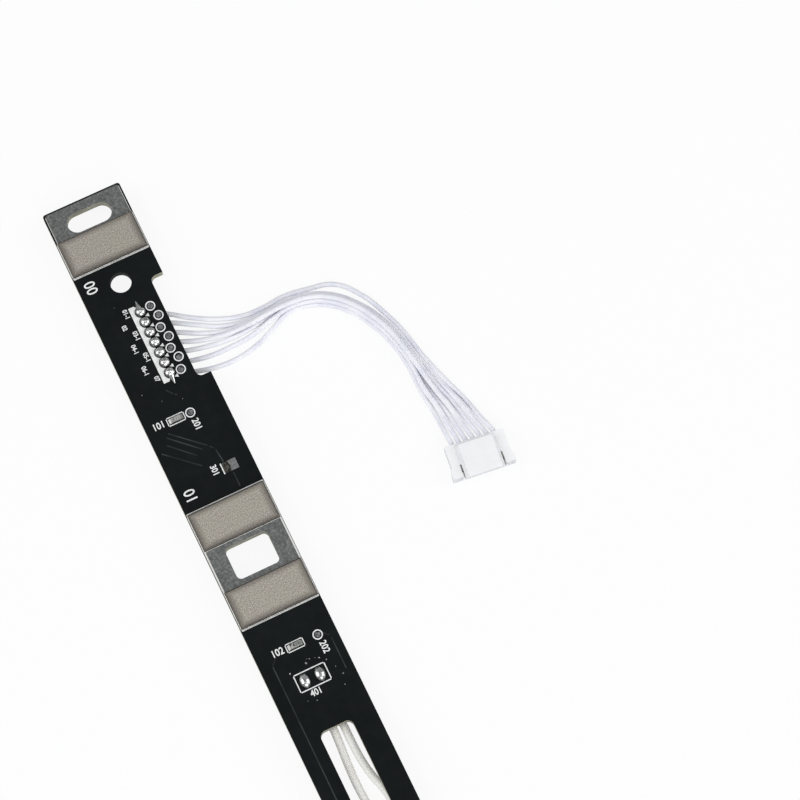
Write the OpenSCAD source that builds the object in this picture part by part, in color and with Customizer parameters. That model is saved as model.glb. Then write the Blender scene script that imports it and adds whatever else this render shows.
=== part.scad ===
// Strip board that taps the cells of a battery pack: tinned terminals with weld blocks,
// a seven-way soldered harness with its crimp connector, and a thermistor under the board.
// +Y runs along the strip towards terminal 0, +X towards the harness, +Z up.
// The origin is on the surface that the board lies on, below the middle of the strip.

/* [Circuit board] */
// Width of the strip board
board_w = 14.5; // [13.5:0.5:18]
// Thickness of the bare laminate
board_t = 1.6; // [1:0.1:2.4]
// Rounding of the board's four corners
board_corner_r = 0.5; // [0.2:0.1:1.2]
// Height of the board's underside above the surface, left for the wires below it
board_lift = 1.8; // [1.7:0.1:3]
// Diameter of the mounting holes
hole_d = 3.7; // [3:0.1:4.5]
// Distance from the end block to the mounting hole's centre
hole_reach = 7.5; // [6.5:0.1:8]
// Length of the notch in the board's side where the harness leaves
notch_l = 19.8; // [17:0.2:22]
// Depth of that notch
notch_d = 2.4; // [1.5:0.1:3]
// Rounding inside the notch's corners
notch_r = 1; // [0.5:0.1:1.4]

/* [Terminals] */
// Distance between the weld blocks at the two ends of one cell, centre to centre
cell_span = 53.5; // [50:0.5:70]
// Distance between the two blocks of a middle terminal, centre to centre
block_pitch = 14.7; // [14.4:0.1:18]
// Distance from the board's end to the centre of the end block
end_reach = 9.4; // [9.2:0.1:12]
// Length of a weld block along the strip
block_l = 6.8; // [5:0.1:7.2]
// Height of a weld block above its land
block_h = 0.7; // [0.4:0.05:1.5]
// Bevel along a weld block's top edges
block_bevel = 0.2; // [0.1:0.05:0.3]
// Gap between a weld block and the board's long edges
block_inset = 0.3; // [0.2:0.05:0.6]
// Thickness of a tinned land
land_t = 0.1; // [0.05:0.05:0.2]
// Width of the solder bead around a weld block
bead_w = 0.15; // [0.1:0.01:0.16]
// Bare margin between an end land and the board's edges
land_margin = 0.3; // [0.2:0.05:0.6]
// Bare margin between the lands and the board's long edges beside the weld blocks
side_margin = 0.1; // [0.05:0.01:0.12]
// Length along the strip of a middle terminal's window
window_l = 5.9; // [4.5:0.1:7]
// Width across the strip of a middle terminal's window
window_w = 7.8; // [5:0.1:9]
// Rounding of the window's corners
window_r = 0.9; // [0.4:0.1:1.5]
// Width of the oblong slot in an end terminal
slot_w = 3.6; // [2.5:0.1:3.8]
// Length of that slot across the strip
slot_l = 8.1; // [5:0.1:10]
// Distance from the board's end to the slot's centre line
slot_reach = 3.75; // [3:0.05:4]

/* [Harness header] */
// Distance between neighbouring solder joints
joint_pitch = 2; // [2:0.05:2.3]
// Distance of the row of joints from the strip's centre line
joint_x = 0.85; // [0:0.05:2]
// Radius of a joint's solder dome
joint_r = 0.96; // [0.7:0.02:0.98]
// Height of a joint's dome above the board
joint_h = 0.8; // [0.4:0.05:0.9]
// Depth of a joint below the board
joint_drop = 1.2; // [1:0.05:1.4]
// Radius of the plated hole that a joint fills
joint_hole_r = 0.45; // [0.3:0.05:0.5]
// Length of the stripped and tinned conductor at a joint
strip_l = 1.6; // [1.2:0.1:2]
// Radius of that conductor
conductor_r = 0.2; // [0.15:0.01:0.25]
// Diameter of a test pad
pad_d = 0.95; // [0.6:0.05:1.2]
// Height of a bare pad above the solder mask
pad_t = 0.06; // [0.04:0.01:0.1]

/* [Cell components] */
// Length of a chip resistor's ceramic body
chip_l = 1.6; // [1.2:0.1:2]
// Width of the chip resistor
chip_w = 0.85; // [0.6:0.05:1.2]
// Height of the chip resistor
chip_h = 0.45; // [0.3:0.05:0.6]
// Length of the solder wedge at each end of the chip
chip_toe = 0.5; // [0.3:0.05:0.7]
// Length along the strip of the solder jumper's pads
jumper_l = 1.9; // [1.4:0.1:2.4]
// Width across the strip of both jumper pads together
jumper_w = 2.6; // [2:0.1:3]
// Gap between the two jumper pads
jumper_gap = 0.2; // [0.1:0.05:0.3]

/* [Thermistor] */
// Distance between the thermistor's two joints
sensor_pitch = 2.75; // [2.5:0.05:3]
// Width of a thermistor joint
sensor_joint_w = 2; // [1.6:0.1:2.3]
// Length of a thermistor joint along the strip
sensor_joint_l = 2.7; // [2.2:0.1:3]
// Diameter of a thermistor lead over its insulation
lead_d = 1.4; // [1:0.1:1.6]
// Length of the flat thermistor body
sensor_l = 5; // [4:0.5:7]
// Thickness of the thermistor body
sensor_t = 1.6; // [1.2:0.1:1.7]
// Length of the window over the thermistor leads
lead_window_l = 19; // [12:0.5:21]
// Width of that window
lead_window_w = 5.9; // [4.5:0.1:7]
// Rounding of that window's corners
lead_window_r = 1.1; // [0.5:0.1:2]

/* [Harness connector] */
// Distance between neighbouring contacts
way_pitch = 1.25; // [1.25:0.05:1.5]
// Width of the housing's side rail outside the raised block
rail_w = 1.6; // [1.2:0.1:2]
// Length of the housing from the wires to the mating face
housing_l = 5.9; // [5:0.1:7.5]
// Height of the housing's side rails
rail_h = 2.3; // [2.2:0.1:2.6]
// Height of the housing's raised middle
housing_h = 3; // [2.8:0.1:3.6]
// Width of the slit between a side arm and the middle
slit_w = 0.3; // [0.2:0.05:0.5]
// Length of that slit
slit_l = 2.2; // [1.5:0.1:4]
// How far a side arm's tip stands out from the rail
arm_flare = 0.35; // [0.1:0.05:0.5]
// Width of a contact's cavity
cavity_w = 1.05; // [1:0.01:1.1]
// Height of a contact's cavity
cavity_h = 1.2; // [1.1:0.05:1.3]
// Height of the wires' axis in the housing
way_z = 1.4; // [1.35:0.05:1.5]
// Depth to which a wire goes into its cavity
wire_seat = 1.2; // [0.8:0.1:1.6]
// Length of a crimp contact
contact_l = 3.6; // [3:0.1:4]
// Play between a crimp contact and its cavity, on each side
contact_play = 0.05; // [0.03:0.01:0.06]

/* [Wires] */
// Diameter of a harness wire over its insulation
wire_d = 0.9; // [0.7:0.05:0.95]

/* [Hidden] */

$fn = 48;
eps = 0.01;
cells = 4;
ways = 7;
last_end = cells;

// Along the strip, every place is a distance from the end of terminal 0.
board_l = 2 * end_reach + cells * cell_span + (cells - 1) * block_pitch;
board_top = board_lift + board_t;
land_top = board_top + land_t;
bead_h = block_h / 2;
bead_lip = 0.03;
function along(distance) = board_l / 2 - distance;
function terminal_at(k) = end_reach + k * cell_span + (k - 0.5) * block_pitch;
block_w = board_w - 2 * block_inset;
land_w = board_w - 2 * side_margin;
block_reach = block_l / 2 + bead_w;
land_rim = 0.05;

// Distances from the end block's centre, or from the last block before a cell
header_reach = 19.85;
notch_lead = 1.1;
first_chip_reach = 33.8;
jumper_reach = 45.15;
chip_reach = 9.6;
sensor_reach = 15.75;
lead_window_reach = 8.9;
first_chip_x = -1.65;
chip_x = -0.15;
first_probe_x = 1.05;
probe_x = 4;
jumper_x = 3.2;
sensor_x = 0.15;
pads_x = 3.1;
pads_stagger = 0.3;
pads_pitch = 2.1;
header_at = end_reach + header_reach;
notch_at = header_at - notch_lead;
first_chip_at = end_reach + first_chip_reach;
jumper_at = end_reach + jumper_reach;
function block_before(k) = k == 1 ? end_reach : terminal_at(k - 1) + block_pitch / 2;
function chip_at(k) = k == 1 ? first_chip_at : block_before(k) + chip_reach;
sensor_at = block_before(2) + sensor_reach;
lead_window_at = sensor_at + lead_window_reach + lead_window_l / 2;

// Header joints and the start of each wire
root_r = 0.75;
tail_l = 1.15;
tail_r = joint_r - 0.15;
tail_tip_r = 0.08;
tip_r = 0.36;
tip_h = 0.28;
tip_sink = 0.1;
wire_start_z = 0.85;
wire_start_x = joint_x + strip_l;
function joint_y(way) = along(header_at + (way - (ways + 1) / 2) * joint_pitch);

// Thermistor leads: [x, distance past the joints' stripped ends]
lead_z = lead_d / 2;
lead_start = sensor_at + strip_l;
lead_bends = [
    [[-1.1, 3], [-0.75, 5], [-0.35, 7], [-0.4, 9.5], [-0.65, 13], [-0.8, 16.5], [-0.7, 20],
        [-0.4, 24], [-0.2, 27.5], [-0.2, 29.5]],
    [[1.5, 3.5], [1.5, 7], [1.5, 11], [1.65, 14], [2.15, 17], [2.85, 19.5], [3.2, 22.5],
        [2.9, 25.5], [2.3, 28], [2.1, 29.5]]];
lead_tail = 2;
lead_reach = lead_bends[0][len(lead_bends[0]) - 1][1] + lead_tail;
sensor_rim = 0.2;
lead_x = [sensor_x - sensor_pitch / 2, sensor_x + sensor_pitch / 2];
lead_end_x = [-0.2, 2.1];
sensor_body_at = lead_start + lead_reach;
sensor_w = lead_end_x[1] - lead_end_x[0] + lead_d + 2 * sensor_rim;
function lead_route(i) = concat(
    [for (d = [0, 1]) [lead_x[i], along(lead_start + d), wire_start_z]],
    [for (p = lead_bends[i]) [p[0], along(lead_start + p[1]), lead_z]],
    [[lead_end_x[i], along(sensor_body_at), lead_z]]);

// Connector: it lies on the surface, turned a little from the strip
connector_x = 42.4;
connector_y = 70.6;
connector_turn = -7;
end_wall = 0.975;
housing_w = (ways - 1) * way_pitch + cavity_w + 2 * end_wall;
middle_w = housing_w - 2 * rail_w;
middle_inset = 0.1;
middle_setback = 0.5;
tip_l = 0.9;
slope_l = 2.4;
housing_bevel = 0.6;
hood_l = 0.5;
hood_z = 1.9;
pin_hole = 0.7;
lance_l = 1.2;
lance_back = 0.4;
contact_room = 0.2;
cavity_end = wire_seat + contact_l + contact_room;
contact_w = cavity_w - 2 * contact_play;
contact_h = cavity_h - 2 * contact_play;
function in_housing(x, y, z) = [
    connector_x + x * cos(connector_turn) - y * sin(connector_turn),
    connector_y + x * sin(connector_turn) + y * cos(connector_turn), z];
function way_x(way) = ((ways + 1) / 2 - way) * way_pitch;

// Wires: points near the board, [x, y, z]
fan_out = [
    [[5, 113.8, 0.7], [8.5, 111.4, 0.5], [12.5, 109.2, 0.5], [16.5, 107.9, 0.5], [20.5, 107.7, 0.5]],
    [[5, 112, 0.7], [8.5, 110, 0.5], [12.5, 107.8, 0.5], [16.5, 106.9, 0.5], [20.5, 106.8, 0.5]],
    [[5, 110.1, 0.7], [8.5, 108.3, 0.5], [12.5, 106.7, 0.7], [16.5, 106.2, 1.2], [20.5, 106.3, 1.3]],
    [[5, 108.2, 0.7], [8.5, 106.9, 0.6], [12.5, 105.9, 1.2], [16.5, 105.6, 1.9], [20.5, 105.9, 2.1]],
    [[5, 106.4, 0.7], [8.5, 105.6, 0.5], [12.5, 105.1, 0.5], [16.5, 105.2, 0.5], [20.5, 105.7, 0.5]],
    [[5, 104.4, 0.7], [8.5, 103.8, 0.5], [12.5, 103.7, 0.5], [16.5, 104, 0.5], [20.5, 104.9, 1]],
    [[5, 102.3, 0.7], [8.5, 101.5, 0.5], [12.5, 101.3, 0.5], [16.5, 102, 0.5], [20.5, 103.6, 0.5]]];
// The bundle's centre line, [x, y, heading in degrees]
bundle = [[24, 106, 0], [28, 105.5, -16], [31.5, 103.8, -36], [34.5, 100.8, -54],
    [36.8, 97, -66], [38.3, 92.8, -75], [39.2, 88.2, -81]];
// Each wire's place in the bundle, [distance towards the outside of the bend, height]
lane = [[2, 0.5], [1, 0.5], [0.5, 1.3], [0, 2.15], [0, 0.5], [-0.5, 1.3], [-1, 0.5]];
// How far the first wire bows out of its place at each point of the bundle
loop_out = [0, 0, 0.9, 0.6, 0.1, 0, 0];
// Points near the connector, [x, z] at two places along Y
spread_y = [82.5, 77.5];
spread = [
    [[42.85, 0.5], [44.45, 0.6]], [[41.8, 0.5], [43.4, 1.1]], [[40.95, 0.95], [42.4, 0.7]],
    [[40.2, 1.5], [41.4, 1.25]], [[39.5, 0.5], [40.5, 0.6]], [[38.8, 1.2], [39.6, 0.95]],
    [[38.2, 0.5], [38.6, 0.6]]];

function in_bundle(way, i) =
    let (out = lane[way - 1][0] + (way == 1 ? loop_out[i] : 0))
    [bundle[i][0] - out * sin(bundle[i][2]), bundle[i][1] + out * cos(bundle[i][2]),
        lane[way - 1][1]];
function wire_route(way) = concat(
    [[wire_start_x, joint_y(way), wire_start_z]],
    fan_out[way - 1],
    [for (i = [0 : len(bundle) - 1]) in_bundle(way, i)],
    [for (i = [0, 1]) [spread[way - 1][i][0], spread_y[i], spread[way - 1][i][1]]],
    [in_housing(0.9 * way_x(way) - 0.8, 3, 1.25), in_housing(0.97 * way_x(way) - 0.3, 1.3, way_z),
        in_housing(way_x(way), -0.1, way_z), in_housing(way_x(way), -wire_seat, way_z)]);

// ---- shared shapes ----

// Rectangle with rounded corners, centred
module rounded_rect(size_x, size_y, r) {
    square([size_x - 2 * r, size_y], center = true);
    square([size_x, size_y - 2 * r], center = true);
    for (sx = [-1, 1], sy = [-1, 1])
        translate([sx * (size_x / 2 - r), sy * (size_y / 2 - r)]) circle(r);
}

// Outline of a bar whose top corners are bevelled, standing on y = 0
module bevelled_bar(width, height, bevel) {
    polygon([[-width / 2, 0], [width / 2, 0], [width / 2, height - bevel],
        [width / 2 - bevel, height], [bevel - width / 2, height], [-width / 2, height - bevel]]);
}

// Plate with all four top edges bevelled
module bevelled_plate(size_x, size_y, height, bevel) {
    intersection() {
        translate([0, size_y / 2, 0]) rotate([90, 0, 0])
            linear_extrude(size_y) bevelled_bar(size_x, height, bevel);
        translate([-size_x / 2, 0, 0]) rotate([90, 0, 90])
            linear_extrude(size_x) bevelled_bar(size_y, height, bevel);
    }
}

// Outline of a ridge that slopes on both sides from the floor to its top
module ridge(width, height, slope) {
    polygon([[-width / 2, 0], [width / 2, 0], [width / 2 - slope, height],
        [slope - width / 2, height]]);
}

// Bead of solder around the foot of a weld block
module solder_bead() {
    size_x = block_w + 2 * bead_w;
    size_y = block_l + 2 * bead_w;
    difference() {
        intersection() {
            translate([0, size_y / 2, 0]) rotate([90, 0, 0])
                linear_extrude(size_y) ridge(size_x, bead_h, bead_w - bead_lip);
            translate([-size_x / 2, 0, 0]) rotate([90, 0, 90])
                linear_extrude(size_x) ridge(size_y, bead_h, bead_w - bead_lip);
        }
        translate([-block_w / 2, -block_l / 2, -1]) cube([block_w, block_l, bead_h + 2]);
    }
}

// Cap of a sphere standing on z = 0
module cap(r, height) {
    ball_r = (r * r + height * height) / (2 * height);
    intersection() {
        translate([0, 0, height - ball_r]) sphere(ball_r);
        translate([-2 * ball_r, -2 * ball_r, 0]) cube([4 * ball_r, 4 * ball_r, height + 1]);
    }
}

// Upper part of an egg lying along Y, standing on z = 0
module oval_dome(size_x, size_y, height) {
    sink = size_x / 2 - height;
    intersection() {
        translate([0, 0, -sink]) rotate([90, 0, 0]) rotate_extrude()
            polygon([for (a = [-90 : 15 : 90]) [size_x / 2 * cos(a), size_y / 2 * sin(a)]]);
        translate([-size_x, -size_y, 0]) cube([2 * size_x, 2 * size_y, size_x]);
    }
}

// ---- circuit board ----

module notch_outline() {
    floor_x = board_w / 2 - notch_d;
    translate([floor_x, -notch_l / 2 + notch_r]) square([notch_d + 1, notch_l - 2 * notch_r]);
    translate([floor_x + notch_r, -notch_l / 2]) square([notch_d + 1, notch_l]);
    for (side = [-1, 1])
        translate([floor_x + notch_r, side * (notch_l / 2 - notch_r)]) circle(notch_r);
}

module board_outline() {
    difference() {
        rounded_rect(board_w, board_l, board_corner_r);
        translate([0, along(notch_at)]) notch_outline();
        for (end = [slot_reach, board_l - slot_reach])
            translate([0, along(end)]) rounded_rect(slot_l, slot_w, slot_w / 2 - eps);
        for (k = [1 : cells - 1])
            translate([0, along(terminal_at(k))]) rounded_rect(window_w, window_l, window_r);
        translate([0, along(lead_window_at)])
            rounded_rect(lead_window_w, lead_window_l, lead_window_r);
    }
}

module board_hole(x, distance, r) {
    translate([x, along(distance), board_lift - 1]) cylinder(r = r, h = board_t + 2);
}

module circuit_board() {
    color([0.09, 0.11, 0.11]) difference() {
        translate([0, 0, board_lift]) linear_extrude(board_t) board_outline();
        board_hole(0, end_reach + hole_reach, hole_d / 2);
        board_hole(0, board_l - end_reach - hole_reach, hole_d / 2);
        for (way = [1 : ways])
            board_hole(joint_x, header_at + (way - (ways + 1) / 2) * joint_pitch, joint_hole_r);
        for (x = lead_x) board_hole(x, sensor_at, joint_hole_r);
    }
}

// ---- terminals ----

module end_land(mirrored) {
    inner = end_reach + block_reach + land_rim;
    middle = (land_margin + inner) / 2;
    mirror([0, mirrored ? 1 : 0, 0]) color([0.6, 0.61, 0.61]) {
        translate([0, 0, board_top]) linear_extrude(land_t) difference() {
            union() {
                translate([0, along(middle)])
                    rounded_rect(board_w - 2 * land_margin, inner - land_margin, board_corner_r);
                translate([0, along(end_reach)])
                    rounded_rect(land_w, 2 * (block_reach + land_rim), board_corner_r);
            }
            translate([0, along(slot_reach)]) rounded_rect(slot_l, slot_w, slot_w / 2 - eps);
        }
        translate([0, along(end_reach), land_top]) solder_bead();
    }
}

module middle_land(k) {
    translate([0, along(terminal_at(k)), 0]) color([0.6, 0.61, 0.61]) {
        translate([0, 0, board_top]) linear_extrude(land_t) difference() {
            rounded_rect(land_w, block_pitch + 2 * (block_reach + land_rim), board_corner_r);
            rounded_rect(window_w, window_l, window_r);
        }
        for (side = [-1, 1]) translate([0, side * block_pitch / 2, land_top]) solder_bead();
    }
}

module terminal_land(k) {
    if (k == 0 || k == last_end) end_land(k == last_end);
    else middle_land(k);
}

module weld_block(distance) {
    translate([0, along(distance), land_top]) color([0.7, 0.67, 0.64])
        bevelled_plate(block_w, block_l, block_h, block_bevel);
}

// ---- header ----

// Tail of solder that runs off the first and the last pad
module solder_tail(side) {
    reach = joint_r + tail_l;
    intersection() {
        rotate([-90 * side, 0, 0]) cylinder(r1 = tail_r, r2 = tail_tip_r, h = reach);
        translate([-joint_r, -2 * reach, 0]) cube([2 * joint_r, 4 * reach, 2 * joint_r]);
    }
}

module solder_barrel() {
    translate([0, 0, board_lift]) cylinder(r = joint_hole_r, h = board_t);
    translate([0, 0, board_lift]) mirror([0, 0, 1]) cap(root_r, joint_drop);
}

module header_joint(way) {
    translate([joint_x, joint_y(way), 0]) color([0.75, 0.75, 0.74]) {
        translate([0, 0, board_top]) {
            cap(joint_r, joint_h);
            translate([0, 0, joint_h - tip_sink]) cap(tip_r, tip_h);
            if (way == 1) solder_tail(1);
            if (way == ways) solder_tail(-1);
        }
        solder_barrel();
        translate([0, 0, wire_start_z]) rotate([0, 90, 0]) cylinder(r = conductor_r, h = strip_l);
    }
}

module test_pads() {
    color([0.72, 0.7, 0.66]) {
        for (i = [1 : ways])
            translate([pads_x + (i % 2 == 0 ? 1 : -1) * pads_stagger,
                along(header_at + (i - (ways + 1) / 2) * pads_pitch), board_top])
                cylinder(r = pad_d / 2, h = pad_t);
        for (k = [1 : cells])
            translate([k == 1 ? first_probe_x : probe_x, along(chip_at(k)), board_top])
                cylinder(r = pad_d / 2, h = pad_t);
    }
}

// ---- cell components ----

// Ceramic chip with a wedge of solder at each end
module chip_resistor(k) {
    translate([k == 1 ? first_chip_x : chip_x, along(chip_at(k)), board_top]) color([0.6, 0.58, 0.55]) {
        translate([-chip_l / 2, -chip_w / 2, 0]) cube([chip_l, chip_w, chip_h]);
        translate([0, chip_w / 2, 0]) rotate([90, 0, 0]) linear_extrude(chip_w)
            polygon([[-chip_l / 2 - chip_toe, 0], [chip_l / 2 + chip_toe, 0],
                [chip_l / 2, chip_h * 0.8], [-chip_l / 2, chip_h * 0.8]]);
    }
}

// Two pads, one with an arrow edge that fits the notch of the other
module solder_jumper() {
    half = jumper_l / 2;
    point = jumper_l / 4;
    middle = jumper_w * 0.45;
    translate([jumper_x - jumper_w / 2, along(jumper_at), board_top]) color([0.5, 0.5, 0.49])
        linear_extrude(pad_t) {
            polygon([[0, -half], [middle - point, -half], [middle, 0], [middle - point, half],
                [0, half]]);
            translate([jumper_gap, 0]) polygon([[middle - point, -half],
                [jumper_w - jumper_gap, -half], [jumper_w - jumper_gap, half],
                [middle - point, half], [middle, 0]]);
        }
}

// ---- thermistor ----

module thermistor_joint(x) {
    translate([x, along(sensor_at), 0]) color([0.75, 0.75, 0.74]) {
        translate([0, 0, board_top]) oval_dome(sensor_joint_w, sensor_joint_l, joint_h);
        solder_barrel();
        translate([0, 0, wire_start_z]) rotate([90, 0, 0])
            cylinder(r = conductor_r, h = strip_l);
    }
}

module thermistor_body() {
    translate([(lead_end_x[0] + lead_end_x[1]) / 2, along(sensor_body_at + sensor_l / 2), 0])
        color([0.13, 0.13, 0.14]) bevelled_plate(sensor_w, sensor_l, sensor_t, sensor_t / 4);
}

// ---- wires and leads ----

function unit(v) = v / norm(v);
// Ring of eight points around a route's point, square to the route there
function ring(route, i, r) =
    let (last = len(route) - 1,
        ahead = i == last ? route[i] - route[i - 1] : unit(route[i + 1] - route[i]),
        behind = i == 0 ? ahead : unit(route[i] - route[i - 1]),
        way = unit(ahead + behind),
        aside = unit(cross(way, [0, 0, 1])),
        up = cross(aside, way))
    [for (a = [22.5 : 45 : 337.5]) route[i] + r * (cos(a) * aside + sin(a) * up)];

module tube(route, r) {
    sides = 8;
    rings = len(route);
    points = [for (i = [0 : rings - 1]) each ring(route, i, r)];
    walls = [for (i = [0 : rings - 2], j = [0 : sides - 1])
        let (a = i * sides + j, b = i * sides + (j + 1) % sides)
        each [[a, a + sides, b], [b, a + sides, b + sides]]];
    start = [for (j = [0 : sides - 1]) j];
    end = [for (j = [sides - 1 : -1 : 0]) (rings - 1) * sides + j];
    polyhedron(points, concat(walls, [start, end]), convexity = 10);
}

module thermistor_lead(i) {
    color([0.93, 0.93, 0.92]) tube(lead_route(i), lead_d / 2);
}

module wire(way) {
    color([0.92, 0.92, 0.95]) tube(wire_route(way), wire_d / 2);
}

// ---- connector ----

// Side arm outline: the slit frees its end, and its tip leans out
module side_arm() {
    polygon([[0, 0], [rail_w, 0], [rail_w, -housing_l], [-arm_flare, -housing_l],
        [-arm_flare, tip_l - housing_l], [0, slope_l - housing_l]]);
}

module connector_housing() {
    translate([connector_x, connector_y, 0]) rotate([0, 0, connector_turn])
        color([0.95, 0.95, 0.92]) difference() {
            union() {
                translate([-middle_w / 2 - eps, -housing_l, 0])
                    cube([middle_w + 2 * eps, housing_l, rail_h]);
                for (side = [0, 1]) mirror([side, 0, 0]) translate([-housing_w / 2, 0, 0])
                    linear_extrude(rail_h) side_arm();
                translate([0, -middle_setback, 0]) rotate([90, 0, 0])
                    linear_extrude(housing_l + hood_l - middle_setback)
                        bevelled_bar(middle_w - 2 * middle_inset, housing_h, housing_bevel);
            }
            translate([-middle_w / 2, -housing_l - hood_l - 1, -1])
                cube([middle_w, hood_l + 1, hood_z + 1]);
            for (side = [-1, 1]) translate([side * middle_w / 2 - slit_w / 2, -housing_l - 1, -1])
                cube([slit_w, slit_l + 1, housing_h + 2]);
            for (way = [1 : ways]) translate([way_x(way), 0, 0]) {
                translate([-cavity_w / 2, -cavity_end, way_z - cavity_h / 2])
                    cube([cavity_w, cavity_end + 1, cavity_h]);
                translate([-pin_hole / 2, -housing_l - 1, way_z - pin_hole / 2])
                    cube([pin_hole, housing_l, pin_hole]);
                translate([-pin_hole / 2, lance_back - cavity_end, -1])
                    cube([pin_hole, lance_l, way_z]);
            }
        }
}

// Box contact with two crimp wings behind it
module crimp_contact(way) {
    box_l = 0.55 * contact_l;
    wing_l = 0.3 * contact_l;
    wing_h = 0.75 * contact_h;
    floor_z = way_z - contact_h / 2;
    wall = 0.15;
    translate([connector_x, connector_y, 0]) rotate([0, 0, connector_turn])
        translate([way_x(way), -wire_seat, floor_z]) color([0.8, 0.78, 0.72]) {
            difference() {
                translate([-contact_w / 2, -contact_l, 0]) cube([contact_w, box_l, contact_h]);
                translate([-contact_w / 2 + wall, -contact_l - 1, wall])
                    cube([contact_w - 2 * wall, box_l + 2, contact_h - 2 * wall]);
            }
            translate([-contact_w / 2, -contact_l, 0]) cube([contact_w, contact_l, wall]);
            for (side = [0, 1]) mirror([side, 0, 0])
                translate([-contact_w / 2, -wing_l, 0]) cube([wall, wing_l, wing_h]);
        }
}

circuit_board();
for (k = [0 : cells])
    terminal_land(k);
weld_block(end_reach);  // weld_block_0
for (k = [1 : cells - 1]) {
    weld_block(terminal_at(k) - block_pitch / 2);
    weld_block(terminal_at(k) + block_pitch / 2);
}
weld_block(board_l - end_reach);  // weld_block_4
for (way = [1 : ways])
    header_joint(way);
test_pads();
for (k = [1 : cells])
    chip_resistor(k);
solder_jumper();
thermistor_joint(lead_x[0]);  // thermistor_joint_1
thermistor_joint(lead_x[1]);  // thermistor_joint_2
thermistor_lead(0);  // thermistor_lead_1
thermistor_lead(1);  // thermistor_lead_2
thermistor_body();
for (way = [1 : ways])
    wire(way);
connector_housing();
for (way = [1 : ways])
    crimp_contact(way);
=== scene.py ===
import math
import random

import bmesh
import bpy
from mathutils import Matrix, Vector


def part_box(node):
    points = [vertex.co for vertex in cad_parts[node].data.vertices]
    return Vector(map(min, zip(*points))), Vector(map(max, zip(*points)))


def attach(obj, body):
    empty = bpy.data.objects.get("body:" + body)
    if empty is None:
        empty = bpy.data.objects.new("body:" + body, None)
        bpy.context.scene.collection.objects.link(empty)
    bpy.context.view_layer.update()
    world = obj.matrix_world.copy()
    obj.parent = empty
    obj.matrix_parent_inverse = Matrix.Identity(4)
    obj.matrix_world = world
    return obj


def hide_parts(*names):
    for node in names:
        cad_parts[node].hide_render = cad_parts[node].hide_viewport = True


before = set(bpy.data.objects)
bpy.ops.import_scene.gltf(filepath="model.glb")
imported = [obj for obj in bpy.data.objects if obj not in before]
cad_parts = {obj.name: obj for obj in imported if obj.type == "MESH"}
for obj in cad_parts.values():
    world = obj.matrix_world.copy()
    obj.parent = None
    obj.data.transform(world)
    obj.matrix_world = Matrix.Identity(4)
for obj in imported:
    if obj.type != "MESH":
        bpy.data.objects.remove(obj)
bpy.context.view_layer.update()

# ---- Camera, floor and light ----
# A pale sheet under the board and three large soft lamps round it. The board is looked down on
# from its harness side, a little off the vertical, through a long lens.

MM = 0.001
FLOOR_SIZE = 6
camera_place = Vector((-0.02746, -0.04492, 0.4848))
camera_aim = Vector((0.03395, 0.08174, 0.0034))

camera_data = bpy.data.cameras.new("camera")
camera_data.lens = 133.09
camera_data.sensor_width = 36
camera_data.clip_start = 0.01
camera = bpy.data.objects.new("camera", camera_data)
camera.location = camera_place
camera.rotation_euler = (camera_aim - camera_place).to_track_quat("-Z", "Y").to_euler()
bpy.context.scene.collection.objects.link(camera)
bpy.context.scene.camera = camera
bpy.context.scene.view_settings.view_transform = "Standard"


def link_object(name, data):
    """A new object in the scene, at the origin."""
    piece = bpy.data.objects.new(name, data)
    bpy.context.scene.collection.objects.link(piece)
    return piece


def soft_lamp(name, place, size, watts):
    """A square lamp that faces the middle of the view."""
    data = bpy.data.lights.new(name, "AREA")
    data.size = size
    data.energy = watts
    lamp = link_object(name, data)
    lamp.location = place
    lamp.rotation_euler = (camera_aim - Vector(place)).to_track_quat("-Z", "Y").to_euler()


soft_lamp("lamp_left", (-0.9, 0.35, 0.75), 0.9, 7.2)
soft_lamp("lamp_right", (0.95, -0.25, 0.7), 0.9, 6.4)
soft_lamp("lamp_front", (-0.1, -1.1, 0.8), 0.9, 7.2)


def seen_directly(nodes, links):
    """1 where the camera, a mirror or glass looks straight at the surface, and 0 elsewhere."""
    path = nodes.new("ShaderNodeLightPath")
    either = nodes.new("ShaderNodeMath")
    either.operation = "MAXIMUM"
    links.new(path.outputs["Is Camera Ray"], either.inputs[0])
    links.new(path.outputs["Is Glossy Ray"], either.inputs[1])
    any_of_three = nodes.new("ShaderNodeMath")
    any_of_three.operation = "MAXIMUM"
    links.new(either.outputs[0], any_of_three.inputs[0])
    links.new(path.outputs["Is Transmission Ray"], any_of_three.inputs[1])
    return any_of_three.outputs[0]


def pale_sheet():
    """White paper that glows where it is looked at and still keeps a faint shadow."""
    material = bpy.data.materials.new("pale_sheet")
    material.use_nodes = True
    nodes, links = material.node_tree.nodes, material.node_tree.links
    nodes["Principled BSDF"].inputs["Base Color"].default_value = (0.9, 0.9, 0.9, 1)
    nodes["Principled BSDF"].inputs["Roughness"].default_value = 0.9
    nodes["Principled BSDF"].inputs["Specular IOR Level"].default_value = 0
    glow = nodes.new("ShaderNodeEmission")
    share = nodes.new("ShaderNodeMath")
    share.operation = "MULTIPLY"
    share.inputs[1].default_value = 0.9
    links.new(seen_directly(nodes, links), share.inputs[0])
    mix = nodes.new("ShaderNodeMixShader")
    links.new(share.outputs[0], mix.inputs["Fac"])
    links.new(nodes["Principled BSDF"].outputs[0], mix.inputs[1])
    links.new(glow.outputs[0], mix.inputs[2])
    links.new(mix.outputs[0], nodes["Material Output"].inputs["Surface"])
    return material


floor_data = bpy.data.meshes.new("floor")
half = FLOOR_SIZE / 2
floor_data.from_pydata(
    [(-half, -half, 0), (half, -half, 0), (half, half, 0), (-half, half, 0)], [], [(0, 1, 2, 3)]
)
floor_data.materials.append(pale_sheet())
floor = link_object("floor", floor_data)
floor.location.z = -0.00002

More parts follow.
